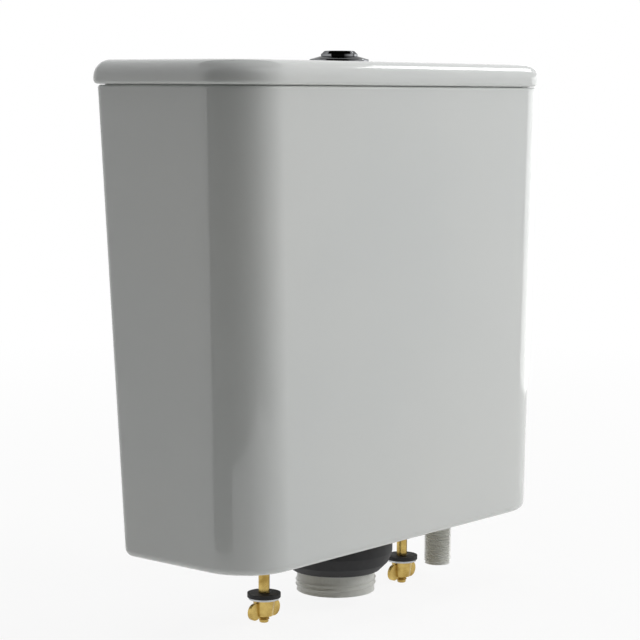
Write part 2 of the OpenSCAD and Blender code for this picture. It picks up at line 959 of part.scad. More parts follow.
module valve_head() {
    bore = riser_r + pin_gap;
    top = head_z + head_h;
    color(white_plastic)
        at_fill()
            turned([[bore, head_z], [riser_r + head_neck_t, head_z],
                [riser_r + head_neck_t, head_z + head_neck_h],
                [head_r, head_z + head_neck_h + head_cone_h], [head_r, top], [head_r - 4, top],
                [head_r - 5, top - 2], [5, top - 2], [4, top], [2.5, top], [2.5, riser_top],
                [bore, riser_top]]);
}

module diaphragm() {
    z = head_z + head_h;
    color(rubber)
        at_fill()
            turned([[0, z], [head_r - 0.4, z], [head_r - 0.4, z + membrane_t], [0, z + membrane_t]]);
}

module head_cap() {
    pilot_top = arm_z - arm_t / 2 - 4;
    color(white_plastic)
        at_fill()
            difference() {
                union() {
                    turned([[0, cap_z], [head_r, cap_z], [head_r, cap_z + cap_t - 1.5],
                        [head_r - 1.5, cap_z + cap_t], [0, cap_z + cap_t]]);
                    for (side = [-1, 1])
                        cheek(side, cap_z + cap_t - 1, arm_z);
                    translate([pilot_x, 0, cap_z + cap_t - 1])
                        cylinder(r = pilot_r, h = pilot_top - cap_z - cap_t + 1);
                }
                translate([0, 0, arm_z])
                    along_y(pin_r + pin_gap, -cheek_out - 1, cheek_out + 1);
                translate([pilot_x, 0, pilot_top - 3])
                    cylinder(r = 1, h = 4);
            }
}

module float_arm() {
    far = arm_l / cos(arm_rest) + 4;
    near = arm_l - 2.8;
    slot_r = rod_r + slide_gap + 0.1;
    eye_w = 13;
    color(grey_plastic)
        translate([fill_x, fill_y, arm_z])
            rotate([0, -arm_rest, 0])
                difference() {
                    union() {
                        along_y(hub_r, -lever_w / 2, lever_w / 2);
                        translate([-near, -lever_w / 2, -arm_t / 2])
                            cube([near + pilot_x + 2, lever_w, arm_t]);
                        translate([-far - 3, -eye_w / 2, -arm_t / 2])
                            cube([far - near + 7, eye_w, arm_t]);
                        translate([pilot_x, 0, -arm_t / 2 - 3.5])
                            cylinder(r = 2.4, h = arm_t + 1);
                    }
                    along_y(pin_r + 2 * pin_gap, -lever_w, lever_w);
                    translate([-far, -slot_r, -arm_t])
                        cube([far - near, 2 * slot_r, 2 * arm_t]);
                }
}

module float_cup() {
    top = cup_z + cup_h;
    web = 2.5;
    edge = 3;
    color(grey_plastic)
        at_fill()
            difference() {
                union() {
                    turned([[cup_guide_r, cup_z], [cup_guide_r + cup_t, cup_z],
                        [cup_guide_r + cup_t, top - web], [cup_r - cup_t - 1, top - web],
                        [cup_r - cup_t, top - web - 1], [cup_r - cup_t, cup_z], [cup_r, cup_z],
                        [cup_r, top - edge], [cup_r - edge, top], [cup_guide_r, top]]);
                    translate([-arm_l, 0, top - 16])
                        cylinder(r = rod_r + 3, h = 16);
                }
                translate([-arm_l, 0, top - 17])
                    cylinder(r = rod_r + pin_gap, h = 18);
            }
}

module float_rod() {
    low = cup_z + cup_h - 16;
    up = arm_rod_z + arm_collar_off;
    down = arm_rod_z - arm_collar_off;
    color(white_plastic)
        at_fill()
            translate([-arm_l, 0, 0])
                turned([[0, low], [rod_r, low], [rod_r, down - 2], [rod_r + 2, down - 2],
                    [rod_r + 2, down], [rod_r, down], [rod_r, up], [rod_r + 2, up],
                    [rod_r + 2, up + 2], [rod_r, up + 2], [rod_r, up + 6], [0, up + 6]]);
}

// Fixings

module coupling_bolts() {
    head_z = flange_z + steel_t;
    color(brass)
        at_bolts()
            union() {
                translate([0, 0, head_z])
                    cylinder(r = hex_r, h = bolt_head_h, $fn = 6);
                turned([[0, bolt_end], [bolt_thread_r - 1, bolt_end], [bolt_thread_r, bolt_end + 1],
                    [bolt_thread_r, grip_low], [bolt_r, grip_low], [bolt_r, grip_top],
                    [bolt_thread_r, grip_top], [bolt_thread_r, head_z + 1], [0, head_z + 1]]);
            }
}

module bolt_rubbers() {
    color(rubber)
        at_bolts()
            for (z = [floor_z, grip_low - washer_t])
                ring(bolt_bore_r, rubber_r, z, z + washer_t);
}

module bolt_washers() {
    color(steel)
        at_bolts()
            for (z = [flange_z, seat_d - steel_t, grip_low - washer_t - steel_t])
                ring(bolt_bore_r, steel_r, z, z + steel_t);
}

module bolt_nuts() {
    color(brass)
        at_bolts()
            difference() {
                translate([0, 0, bolt_nut_z])
                    cylinder(r = hex_r, h = bolt_nut_h, $fn = 6);
                translate([0, 0, bolt_nut_z - 1])
                    cylinder(r = bolt_bore_r, h = bolt_nut_h + 2);
            }
}

module wing_nuts() {
    top = grip_low - washer_t - steel_t;
    color(brass)
        at_bolts()
            difference() {
                union() {
                    turned([[0, top - wing_h], [wing_hub_r, top - wing_h], [wing_seat_r, top],
                        [0, top]]);
                    for (s = [-1, 1])
                        translate([s * wing_x, 0, top - wing_r - 2])
                            along_y(wing_r, -wing_t / 2, wing_t / 2);
                }
                translate([0, 0, top - wing_h - 1])
                    cylinder(r = bolt_bore_r, h = wing_h + 2);
            }
}

tank();
lid();
button_bezel();
bezel_gasket();
bezel_nut();
full_button();
half_button();
full_button_spring();
half_button_spring();
full_push_rod();
half_push_rod();
valve_base();
base_washer();
base_backnut();
doughnut_seal();
valve_tower();
lever_bridge();
full_lever();
half_lever();
pivot_pins();
overflow_stem();
seal_carrier();
flush_seal();
seal_clamp();
stem_float();
half_lift_rod();
half_float();
inlet_shank();
shank_washer();
shank_backnut();
inlet_filter();
riser_lock();
upper_riser();
valve_head();
diaphragm();
head_cap();
float_arm();
float_cup();
float_rod();
coupling_bolts();
bolt_rubbers();
bolt_washers();
bolt_nuts();
wing_nuts();
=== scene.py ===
import json
import math

import bpy
from mathutils import Matrix, Vector

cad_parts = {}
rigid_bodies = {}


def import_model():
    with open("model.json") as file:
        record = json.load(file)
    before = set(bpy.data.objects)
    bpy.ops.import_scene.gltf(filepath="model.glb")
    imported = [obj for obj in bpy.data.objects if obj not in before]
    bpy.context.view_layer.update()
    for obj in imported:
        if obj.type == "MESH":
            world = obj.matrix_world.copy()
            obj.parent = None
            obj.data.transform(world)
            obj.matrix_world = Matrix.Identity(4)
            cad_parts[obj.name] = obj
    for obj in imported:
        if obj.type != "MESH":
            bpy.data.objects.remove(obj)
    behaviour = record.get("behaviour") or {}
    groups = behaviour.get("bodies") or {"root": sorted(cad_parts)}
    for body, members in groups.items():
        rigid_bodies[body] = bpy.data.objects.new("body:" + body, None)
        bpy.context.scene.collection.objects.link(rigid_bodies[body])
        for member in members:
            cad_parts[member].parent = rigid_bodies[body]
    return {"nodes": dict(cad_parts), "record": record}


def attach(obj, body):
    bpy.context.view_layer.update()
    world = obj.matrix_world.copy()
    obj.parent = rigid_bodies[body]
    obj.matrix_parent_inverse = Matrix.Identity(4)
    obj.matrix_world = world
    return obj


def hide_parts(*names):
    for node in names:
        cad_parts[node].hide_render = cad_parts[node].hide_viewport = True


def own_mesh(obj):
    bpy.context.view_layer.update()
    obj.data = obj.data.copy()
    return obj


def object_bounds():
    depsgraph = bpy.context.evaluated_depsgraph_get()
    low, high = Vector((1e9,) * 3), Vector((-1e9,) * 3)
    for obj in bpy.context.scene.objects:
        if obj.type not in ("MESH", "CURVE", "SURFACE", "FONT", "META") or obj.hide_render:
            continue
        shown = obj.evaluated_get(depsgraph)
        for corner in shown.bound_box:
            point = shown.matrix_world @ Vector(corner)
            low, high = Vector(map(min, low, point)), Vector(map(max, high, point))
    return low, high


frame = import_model()
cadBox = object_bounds()
nodes = frame["nodes"]
mm = 0.001
levelReach = 0.01 * mm  # a point this near counts as lying on a level
squareTo = 0.99  # least share of a level face's normal along Z
print("frame loaded:", len(nodes), "nodes")


# found by fitting the tank's edges in the picture, 640 x 640
cameraSet = {
    "place": (-1.1503, -0.9519, 0.3225),
    "yaw": -49.901,
    "tilt": 83.588,
    "roll": 0.352,
    "lens": 115.31,
    "sensor": 36,
}


def makeCamera(size):
    bpy.ops.object.select_all(action="DESELECT")
    bpy.ops.object.camera_add()
    camera = bpy.context.active_object
    camera.name = "photoCamera"
    camera.data.sensor_width = size["sensor"]
    camera.data.lens = size["lens"]
    turn = (Matrix.Rotation(math.radians(size["yaw"]), 4, "Z")
            @ Matrix.Rotation(math.radians(size["tilt"]), 4, "X")
            @ Matrix.Rotation(math.radians(size["roll"]), 4, "Z"))
    camera.matrix_world = Matrix.Translation(size["place"]) @ turn
    bpy.context.scene.camera = camera
    print("camera set")


makeCamera(cameraSet)


# sRGB to linear
def hexColour(code):
    parts = [int(code[i:i + 2], 16) / 255 for i in (1, 3, 5)]
    return [c / 12.92 if c <= 0.04045 else ((c + 0.055) / 1.055) ** 2.4 for c in parts] + [1]


# stops are a colour ramp's places and colours
def addNode(material, kind, sockets, stops=(), **settings):
    made = material.node_tree.nodes.new("ShaderNode" + kind)
    for key, value in settings.items():
        setattr(made, key, value)
    for index, (position, code) in enumerate(stops):
        made.color_ramp.elements[index].position = position
        made.color_ramp.elements[index].color = hexColour(code)
    for key, value in sockets.items():
        if isinstance(value, bpy.types.NodeSocket):
            material.node_tree.links.new(value, made.inputs[key])
        else:
            made.inputs[key].default_value = value
    return made


def startMaterial(name, **constants):
    material = bpy.data.materials.new(name)
    material.use_nodes = True
    shader = material.node_tree.nodes["Principled BSDF"]
    for key, value in constants.items():
        shader.inputs[key.replace("_", " ")].default_value = value
    return material, shader, addNode(material, "TexCoord", {}).outputs["Object"]


def linkShader(material, shader, **sockets):
    for key, socket in sockets.items():
        material.node_tree.links.new(socket, shader.inputs[key.replace("_", " ")])


# vitreous china under a clear fired glaze: mirror gloss, the glaze lies in faint slow waves;
# the orange peel, about 1 mm on the real glaze, is drawn at 4 mm so that it shows
glazeLook = {
    "tones": ((0.3, "#e3e6e5"), (0.7, "#e8eae8")),
    "rough": (0.05, 0.085),
    "cloud": 180 * mm,
    "wave": 70 * mm,
    "peel": 4 * mm,
}


def glazedChina(look):
    material, shader, place = startMaterial("glazedVitreousChina", IOR=1.52, Specular_IOR_Level=0.5)
    cloud = addNode(material, "TexNoise", {"Vector": place, "Scale": 1 / look["cloud"], "Detail": 2})
    tone = addNode(material, "ValToRGB", {"Fac": cloud.outputs["Fac"]}, look["tones"])
    gloss = addNode(material, "MapRange", {"Value": cloud.outputs["Fac"], "To Min": look["rough"][0],
                                           "To Max": look["rough"][1]})
    wave = addNode(material, "TexNoise", {"Vector": place, "Scale": 1 / look["wave"], "Detail": 1})
    slow = addNode(material, "Bump", {"Height": wave.outputs["Fac"], "Strength": 0.25,
                                      "Distance": 0.6 * mm})
    peel = addNode(material, "TexNoise", {"Vector": place, "Scale": 1 / look["peel"], "Detail": 1})
    fine = addNode(material, "Bump", {"Height": peel.outputs["Fac"], "Strength": 0.04,
                                      "Distance": 0.05 * mm, "Normal": slow.outputs["Normal"]})
    linkShader(material, shader, Base_Color=tone.outputs["Color"],
               Roughness=gloss.outputs["Result"], Normal=fine.outputs["Normal"])
    return material


# the fired clay itself, left bare where the tank stands in the kiln: chalky and slightly warm,
# with its grit of about 0.5 mm drawn at 2.5 mm so that it shows
bareLook = {
    "tones": ((0, "#c9c5bc"), (1, "#dedbd4")),
    "rough": (0.65, 0.85),
    "grit": 2.5 * mm,
}


def bareChina(look):
    material, shader, place = startMaterial("unglazedChinaFoot", IOR=1.5)
    speck = addNode(material, "TexNoise", {"Vector": place, "Scale": 1 / look["grit"], "Detail": 4})
    tone = addNode(material, "ValToRGB", {"Fac": speck.outputs["Fac"]}, look["tones"])
    rough = addNode(material, "MapRange", {"Value": speck.outputs["Fac"], "To Min": look["rough"][0],
                                           "To Max": look["rough"][1]})
    grain = addNode(material, "Bump", {"Height": speck.outputs["Fac"], "Strength": 0.3,
                                       "Distance": 0.15 * mm})
    linkShader(material, shader, Base_Color=tone.outputs["Color"],
               Roughness=rough.outputs["Result"], Normal=grain.outputs["Normal"])
    return material


# nickel-chrome plate on moulded ABS: mirror with a slight ripple from the moulding below;
# its tone and edge tint are taken down to a smoky grey, a painted dark reflection that stands for the
# dark room the ring mirrors
chromePaintedReflectionLook = {
    # painted dark reflection: these tones and the edge tint are darker than clean chrome
    "tones": ((0, "#7d7e80"), (1, "#8b8c8e")),
    "edgeTint": "#a7a7a7",
    "rough": (0.03, 0.07),
    "ripple": 6 * mm,
}


def chromedAbs(look):
    material, shader, place = startMaterial("chromedAbs", Metallic=1.0,
                                            Specular_Tint=hexColour(look["edgeTint"]))
    ripple = addNode(material, "TexNoise", {"Vector": place, "Scale": 1 / look["ripple"], "Detail": 2})
    tone = addNode(material, "ValToRGB", {"Fac": ripple.outputs["Fac"]}, look["tones"])
    gloss = addNode(material, "MapRange", {"Value": ripple.outputs["Fac"], "To Min": look["rough"][0],
                                           "To Max": look["rough"][1]})
    bend = addNode(material, "Bump", {"Height": ripple.outputs["Fac"], "Strength": 0.08,
                                      "Distance": 0.1 * mm})
    linkShader(material, shader, Base_Color=tone.outputs["Color"],
               Roughness=gloss.outputs["Result"], Normal=bend.outputs["Normal"])
    return material


# injection-moulded plastic: satin skin with a fine spark-eroded grain, faint flow clouds;
# the real grain is near 0.1 mm, drawn at 0.4 to 0.5 mm so that it shows
plasticLook = {
    "toneSpan": (0.3, 0.7),
    "flow": 25 * mm,
    "roughSpread": 0.06,
}


def mouldedPlastic(name, dark, light, rough, grainSize, look=plasticLook):
    material, shader, place = startMaterial(name, IOR=1.49)
    flow = addNode(material, "TexNoise", {"Vector": place, "Scale": 1 / look["flow"], "Detail": 3})
    tone = addNode(material, "ValToRGB", {"Fac": flow.outputs["Fac"]},
                   zip(look["toneSpan"], (dark, light)))
    grain = addNode(material, "TexNoise", {"Vector": place, "Scale": 1 / grainSize, "Detail": 2})
    gloss = addNode(material, "MapRange", {"Value": grain.outputs["Fac"],
                                           "To Min": rough - look["roughSpread"],
                                           "To Max": rough + look["roughSpread"]})
    skin = addNode(material, "Bump", {"Height": grain.outputs["Fac"], "Strength": 0.12,
                                      "Distance": 0.05 * mm})
    linkShader(material, shader, Base_Color=tone.outputs["Color"],
               Roughness=gloss.outputs["Result"], Normal=skin.outputs["Normal"])
    return material


# moulded EPDM: near black, dull, with a chalky bloom in patches;
# the skin's grain of about 0.2 mm is drawn at 0.8 mm so that it shows
rubberLook = {
    "tones": ((0.35, "#1d1d1f"), (0.8, "#343436")),
    "rough": (0.55, 0.8),
    "bloom": 9 * mm,
    "grain": 0.8 * mm,
}


def epdmRubber(look):
    material, shader, place = startMaterial("epdmRubber", IOR=1.5)
    bloom = addNode(material, "TexNoise", {"Vector": place, "Scale": 1 / look["bloom"], "Detail": 4})
    tone = addNode(material, "ValToRGB", {"Fac": bloom.outputs["Fac"]}, look["tones"])
    rough = addNode(material, "MapRange", {"Value": bloom.outputs["Fac"], "To Min": look["rough"][0],
                                           "To Max": look["rough"][1]})
    grain = addNode(material, "TexNoise", {"Vector": place, "Scale": 1 / look["grain"], "Detail": 2})
    skin = addNode(material, "Bump", {"Height": grain.outputs["Fac"], "Strength": 0.2,
                                      "Distance": 0.08 * mm})
    linkShader(material, shader, Base_Color=tone.outputs["Color"],
               Roughness=rough.outputs["Result"], Normal=skin.outputs["Normal"])
    return material


# drawn or turned metal: fine lines round the axis, a little dulling where it has been handled;
# a tool leaves lines about 0.1 mm apart, drawn at 0.3 mm so that they show
metalLook = {
    "toneSpan": (0.35, 0.65),
    "line": 0.3 * mm,
    "stretch": 30,  # a line is this much longer than it is wide
    "wear": 8 * mm,
    "dulled": 0.1,
    "rubbed": 0.08,
}


def turnedMetal(name, dark, light, rough, look=metalLook):
    material, shader, place = startMaterial(name, Metallic=1.0)
    flat = addNode(material, "Mapping", {"Vector": place, "Scale": (1, 1, look["stretch"])})
    lines = addNode(material, "TexNoise", {"Vector": flat.outputs["Vector"],
                                           "Scale": 1 / (look["stretch"] * look["line"]), "Detail": 3})
    wear = addNode(material, "TexNoise", {"Vector": place, "Scale": 1 / look["wear"], "Detail": 3})
    tone = addNode(material, "ValToRGB", {"Fac": wear.outputs["Fac"]},
                   zip(look["toneSpan"], (dark, light)))
    gloss = addNode(material, "MapRange", {"Value": wear.outputs["Fac"],
                                           "To Min": rough + look["dulled"],
                                           "To Max": rough - look["rubbed"]})
    ridge = addNode(material, "Bump", {"Height": lines.outputs["Fac"], "Strength": 0.15,
                                       "Distance": 0.05 * mm})
    linkShader(material, shader, Base_Color=tone.outputs["Color"],
               Roughness=gloss.outputs["Result"], Normal=ridge.outputs["Normal"])
    return material


finishes = {
    "china": glazedChina(glazeLook),
    "chrome": chromedAbs(chromePaintedReflectionLook),
    "white_plastic": mouldedPlastic("whitePolypropylene", "#dfe0da", "#e9eae5", rough=0.36,
                                    grainSize=0.5 * mm),
    "grey_plastic": mouldedPlastic("greyPom", "#a9adb2", "#b4b8bc", rough=0.42, grainSize=0.4 * mm),
    "blue_plastic": mouldedPlastic("bluePolypropylene", "#5c84b8", "#6a92c4", rough=0.4,
                                   grainSize=0.5 * mm),
    "rubber": epdmRubber(rubberLook),
    "steel": turnedMetal("stainlessSteel", "#a5a7aa", "#c2c4c6", rough=0.28),
    "brass": turnedMetal("turnedBrass", "#a98c4a", "#cdb26a", rough=0.26),
}
bareFoot = bareChina(bareLook)

for part in frame["record"]["subparts"]:
    for slot in nodes[part["node"]].material_slots:
        slot.material = finishes[part["material_slot"]]
print("materials made:", len(finishes) + 1)


def selectOnly(piece):
    bpy.ops.object.select_all(action="DESELECT")
    piece.select_set(True)
    bpy.context.view_layer.objects.active = piece


# leaves the piece in edit mode with what passes the test selected
def pick(piece, kind, test):
    bpy.ops.object.mode_set(mode="EDIT")
    bpy.ops.mesh.select_mode(type=kind)
    bpy.ops.mesh.select_all(action="DESELECT")
    bpy.ops.object.mode_set(mode="OBJECT")
    mesh = piece.data
    for item in {"VERT": mesh.vertices, "EDGE": mesh.edges, "FACE": mesh.polygons}[kind]:
        if kind == "VERT":
            item.select = test(item.co)
        elif kind == "EDGE":
            item.select = test(*[mesh.vertices[i].co for i in item.vertices])
        else:
            item.select = test(item.center, item.normal)
    bpy.ops.object.mode_set(mode="EDIT")


def bevelPicked(width, steps):
    bpy.ops.mesh.bevel(offset=width, segments=steps, profile=0.5, affect="EDGES",
                       clamp_overlap=False)


def roundLevel(piece, level, width, steps):
    pick(piece, "EDGE", lambda a, b: max(abs(a.z - level), abs(b.z - level)) < levelReach)
    bevelPicked(width, steps)
    bpy.ops.object.mode_set(mode="OBJECT")


# the tool is used up
def cutWith(piece, tool, how="DIFFERENCE"):
    selectOnly(piece)
    cut = piece.modifiers.new("cut", "BOOLEAN")
    cut.operation = how
    cut.solver = "MANIFOLD"
    cut.object = tool
    bpy.ops.object.modifier_apply(modifier="cut")
    bpy.data.objects.remove(tool)


def roundCutter(radius, length, place, sides, turn=(0, 0, 0)):
    bpy.ops.object.select_all(action="DESELECT")
    bpy.ops.mesh.primitive_cylinder_add(vertices=sides, radius=radius, depth=length, location=place,
                                        rotation=turn)
    bpy.ops.object.transform_apply(location=True, rotation=True, scale=False)
    return bpy.context.active_object


# cutting leaves an empty slot behind, so the slots are filled afresh
def dress(piece, *materials):
    piece.data.materials.clear()
    for material in materials:
        piece.data.materials.append(material)


def evenShade(piece, angle=35):
    selectOnly(piece)
    bpy.ops.object.shade_smooth_by_angle(angle=math.radians(angle))
    even = piece.modifiers.new("even", "WEIGHTED_NORMAL")
    even.keep_sharp = True
    bpy.ops.object.modifier_apply(modifier="even")


# box with a drawn-in base; rounds and steps are those of the front and the rear corners
def drawnBox(name, box, rounds, steps=(24, 10)):
    bpy.ops.object.select_all(action="DESELECT")
    low, high = box["z"]
    middle = (low + high) / 2
    bpy.ops.mesh.primitive_cube_add(size=1, location=(0, (box["front"] + box["rear"]) / 2, middle))
    piece = bpy.context.active_object
    piece.name = name
    piece.scale = (2 * box["half"], box["rear"] - box["front"], high - low)
    bpy.ops.object.transform_apply(location=True, rotation=False, scale=True)
    pick(piece, "VERT", lambda p: p.z < middle)
    narrow = 1 - box.get("sideTaper", 0) / box["half"]
    bpy.ops.transform.resize(value=(narrow, 1, 1), center_override=(0, 0, low))
    pick(piece, "VERT", lambda p: p.z < middle and p.y > 0)
    bpy.ops.transform.translate(value=(0, -box.get("rearTaper", 0), 0))
    for end, width, count in zip((-1, 1), rounds, steps):
        pick(piece, "EDGE", lambda a, b: abs(a.z - b.z) > (high - low) / 2 and end * a.y > 0)
        bevelPicked(width, count)
    bpy.ops.object.mode_set(mode="OBJECT")
    return piece


# edges are given as a radius and its steps
tankSize = {
    "half": 179.5 * mm,
    "front": -69 * mm,
    "rear": 69 * mm,
    "z": (0, 325 * mm),
    "sideTaper": 8 * mm,
    "rearTaper": 17 * mm,
    "corners": (40 * mm, 9 * mm),
    "wall": 9 * mm,
    "floor": 14 * mm,
    "innerRear": 4 * mm,
    "baseEdge": (6 * mm, 7),
    "rimEdge": (2 * mm, 5),
    "rimSharp": 60,  # degrees, finds the rim's inner edge
    "floorFillet": (3.2 * mm, 5),
    "cutOver": 10 * mm,  # how far a cutter stands out of the china
    "footReach": 0.1 * mm,
}
seatSize = {
    "depth": 4 * mm,
    "cutOver": 5 * mm,
    "sides": 64,
    # x, y, seat radius and hole radius
    "places": [(0, 0, 42.5 * mm, 31.8 * mm), (118 * mm, -6 * mm, 22.5 * mm, 11.98 * mm),
               (-80 * mm, 0, 13 * mm, 5.5 * mm), (80 * mm, 0, 13 * mm, 5.5 * mm)],
}
wallHoleSize = {
    "x": 70 * mm,
    "y": 63 * mm,
    "z": 285 * mm,
    "radius": 4 * mm,
    "length": 40 * mm,
    "sides": 48,
}


def cutSeats(tank, size, floor, below):
    depth = size["depth"]
    for x, y, seatRadius, holeRadius in size["places"]:
        cutter = roundCutter(seatRadius, depth + below, (x, y, (depth - below) / 2), size["sides"])
        pick(cutter, "FACE", lambda c, n: n.z > squareTo)
        bpy.ops.mesh.inset(thickness=seatRadius - holeRadius)
        bpy.ops.mesh.extrude_region_move(
            TRANSFORM_OT_translate={"value": (0, 0, floor + size["cutOver"] - depth)})
        bpy.ops.object.mode_set(mode="OBJECT")
        cutWith(tank, cutter)


def cutWallHoles(tank, size):
    for side in (-1, 1):
        place = (side * size["x"], size["y"], size["z"])
        turn = (math.pi / 2, 0, 0)
        cutWith(tank, roundCutter(size["radius"], size["length"], place, size["sides"], turn))


def softenRim(tank, size):
    rim = size["z"][1]
    bpy.ops.object.mode_set(mode="EDIT")
    bpy.ops.mesh.select_mode(type="EDGE")
    bpy.ops.mesh.select_all(action="DESELECT")
    bpy.ops.mesh.edges_select_sharp(sharpness=math.radians(size["rimSharp"]))
    bpy.ops.object.mode_set(mode="OBJECT")
    for edge in tank.data.edges:
        ends = [tank.data.vertices[i].co for i in edge.vertices]
        edge.select = edge.select and all(abs(p.z - rim) < levelReach for p in ends)
    bpy.ops.object.mode_set(mode="EDIT")
    bevelPicked(*size["rimEdge"])
    bpy.ops.object.mode_set(mode="OBJECT")


def makeTank(size):
    foot, rim = size["z"]
    tank = drawnBox("tankShell", size, size["corners"])
    roundLevel(tank, foot, *size["baseEdge"])
    roundLevel(tank, rim, *size["rimEdge"])
    # the cavity keeps the tank's slopes, from the floor to above the rim
    wall, floor, over = size["wall"], size["floor"], size["cutOver"]
    more = over / rim
    share = 1 - floor / rim + more
    inner = {
        "half": size["half"] - wall + size["sideTaper"] * more,
        "front": size["front"] + wall,
        "rear": size["rear"] - wall + size["rearTaper"] * more,
        "z": (floor, rim + over),
        "sideTaper": size["sideTaper"] * share,
        "rearTaper": size["rearTaper"] * share,
    }
    cavity = drawnBox("cavity", inner, (size["corners"][0] - wall, size["innerRear"]))
    roundLevel(cavity, floor, *size["floorFillet"])
    cutWith(tank, cavity)
    cutSeats(tank, seatSize, floor, over)
    cutWallHoles(tank, wallHoleSize)
    softenRim(tank, size)
    dress(tank, finishes["china"], bareFoot)
    for face in tank.data.polygons:
        underneath = face.center.z < foot + size["footReach"] and face.normal.z < -squareTo
        face.material_index = 1 if underneath else 0
    evenShade(tank)
    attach(tank, "tank_body")
    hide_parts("tank")
    print("tank made:", len(tank.data.polygons), "faces")


makeTank(tankSize)


lidSize = {
    "half": 182.5 * mm,
    "front": -72 * mm,
    "rear": 72 * mm,
    "z": (325.5 * mm, 342 * mm),
    "corners": (43 * mm, 12 * mm),
    "cornerSteps": (24, 12),
    "lowEdge": (3 * mm, 7),
    "topEdge": (12 * mm, 14),
    "land": {"half": 174.5 * mm, "front": -64 * mm, "rear": 64 * mm, "z": (325 * mm, 328 * mm)},
    "landCorners": (35 * mm, 4 * mm),
    "lip": {"half": 168.5 * mm, "front": -58 * mm, "rear": 58 * mm, "z": (320 * mm, 326 * mm)},
    "lipCorners": (29 * mm, 4 * mm),
    "lipEdge": (1 * mm, 3),
    "hollow": {"half": 163.5 * mm, "front": -53 * mm, "rear": 53 * mm, "z": (315 * mm, 334 * mm)},
    "hollowCorners": (24 * mm, 4 * mm),
    "hollowEdge": (3 * mm, 5),
    "button": {"radius": 17.3 * mm, "length": 60 * mm, "z": 340 * mm, "sides": 96},
}


def makeLid(size):
    lid = drawnBox("lidShell", size, size["corners"], size["cornerSteps"])
    low, high = size["z"]
    roundLevel(lid, low, *size["lowEdge"])
    roundLevel(lid, high, *size["topEdge"])
    # the seating land holds the lid's edge clear of the rim, which draws the dark line there
    cutWith(lid, drawnBox("land", size["land"], size["landCorners"]), "UNION")
    lip = drawnBox("lip", size["lip"], size["lipCorners"])
    roundLevel(lip, size["lip"]["z"][0], *size["lipEdge"])
    cutWith(lid, lip, "UNION")
    hollow = drawnBox("hollow", size["hollow"], size["hollowCorners"])
    roundLevel(hollow, size["hollow"]["z"][1], *size["hollowEdge"])
    cutWith(lid, hollow)
    hole = size["button"]
    cutWith(lid, roundCutter(hole["radius"], hole["length"], (0, 0, hole["z"]), hole["sides"]))
    dress(lid, finishes["china"])
    evenShade(lid)
    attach(lid, "lid_body")
    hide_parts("lid")
    print("lid made:", len(lid.data.polygons), "faces")


makeLid(lidSize)


# winds an open ring up the Z axis, closes both ends and moves the coil to its own axis
def windUp(coil, steps, turns, rise, place):
    wind = coil.modifiers.new("wind", "SCREW")
    wind.axis = "Z"
    wind.steps = wind.render_steps = steps
    wind.iterations = turns
    wind.screw_offset = rise
    bpy.ops.object.modifier_apply(modifier="wind")
    bpy.ops.object.mode_set(mode="EDIT")
    bpy.ops.mesh.select_mode(type="EDGE")
    bpy.ops.mesh.select_all(action="DESELECT")
    bpy.ops.mesh.select_non_manifold(extend=False)
    bpy.ops.mesh.fill_holes(sides=0)
    bpy.ops.mesh.select_all(action="SELECT")
    bpy.ops.mesh.normals_make_consistent(inside=False)
    bpy.ops.transform.translate(value=place)
    bpy.ops.object.mode_set(mode="OBJECT")


def openRing(sides, radius, place):
    bpy.ops.object.select_all(action="DESELECT")
    bpy.ops.mesh.primitive_circle_add(vertices=sides, radius=radius, fill_type="NOTHING",
                                      location=place, rotation=(math.pi / 2, 0, 0))
    bpy.ops.object.transform_apply(location=True, rotation=True, scale=False)
    return bpy.context.active_object


# two light return springs under the button halves
springSize = {
    "wire": 0.45 * mm,
    "wireSides": 12,
    "coil": 4.1 * mm,
    "turns": 5,
    "steps": 40,
    "smooth": 50,
    "low": 323 * mm,
    "high": 338 * mm,
    "press": 7 * mm,
    "sites": [("fullSpring", 8.5 * mm, "full_button_press", "full_button_spring"),
              ("halfSpring", -8.5 * mm, "half_button_press", "half_button_spring")],
}


def windSpring(size):
    wire = size["wire"]
    spring = openRing(size["wireSides"], wire, (size["coil"], 0, size["low"] + wire))
    rise = (size["high"] - size["low"] - 2 * wire) / size["turns"]
    windUp(spring, size["steps"], size["turns"], rise, (0, 0, 0))
    dress(spring, finishes["steel"])
    bpy.ops.object.shade_smooth_by_angle(angle=math.radians(size["smooth"]))
    return spring


def copySpring(first, size, name, x, joint, node):
    selectOnly(first)
    bpy.ops.object.duplicate()
    spring = bpy.context.active_object
    spring.name = name
    bpy.ops.object.mode_set(mode="EDIT")
    bpy.ops.mesh.select_all(action="SELECT")
    bpy.ops.transform.translate(value=(x, 0, 0))
    bpy.ops.object.mode_set(mode="OBJECT")
    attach(spring, "lid_body")
    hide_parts(node)
    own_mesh(spring)


firstSpring = windSpring(springSize)
for site in springSize["sites"]:
    copySpring(firstSpring, springSize, *site)
bpy.data.objects.remove(firstSpring)
print("springs made")


# screw threads, which the solids show as plain rods: the rod is drawn in to the root
# and a ridge is wound on it
threadSet = {
    "outletTail": {"node": "valve_base", "axes": [(0, 0)], "rod": 29.8 * mm, "crest": 29.8 * mm,
                   "root": 28.7 * mm, "pitch": 3.6 * mm, "z": (-45.4 * mm, -30 * mm), "steps": 64,
                   "slot": "white_plastic"},
    "inletTail": {"node": "inlet_shank", "axes": [(118 * mm, -6 * mm)], "rod": 10.48 * mm,
                  "crest": 10.48 * mm, "root": 9.5 * mm, "pitch": 1.81 * mm,
                  "z": (-45.4 * mm, -8.5 * mm), "steps": 36, "slot": "white_plastic"},
    "couplingBolts": {"node": "coupling_bolts", "axes": [(-80 * mm, 0), (80 * mm, 0)],
                      "rod": 3.8 * mm, "crest": 4 * mm, "root": 3.35 * mm, "pitch": 1.25 * mm,
                      "z": (-54.8 * mm, -34.2 * mm), "steps": 20, "slot": "brass"},
}
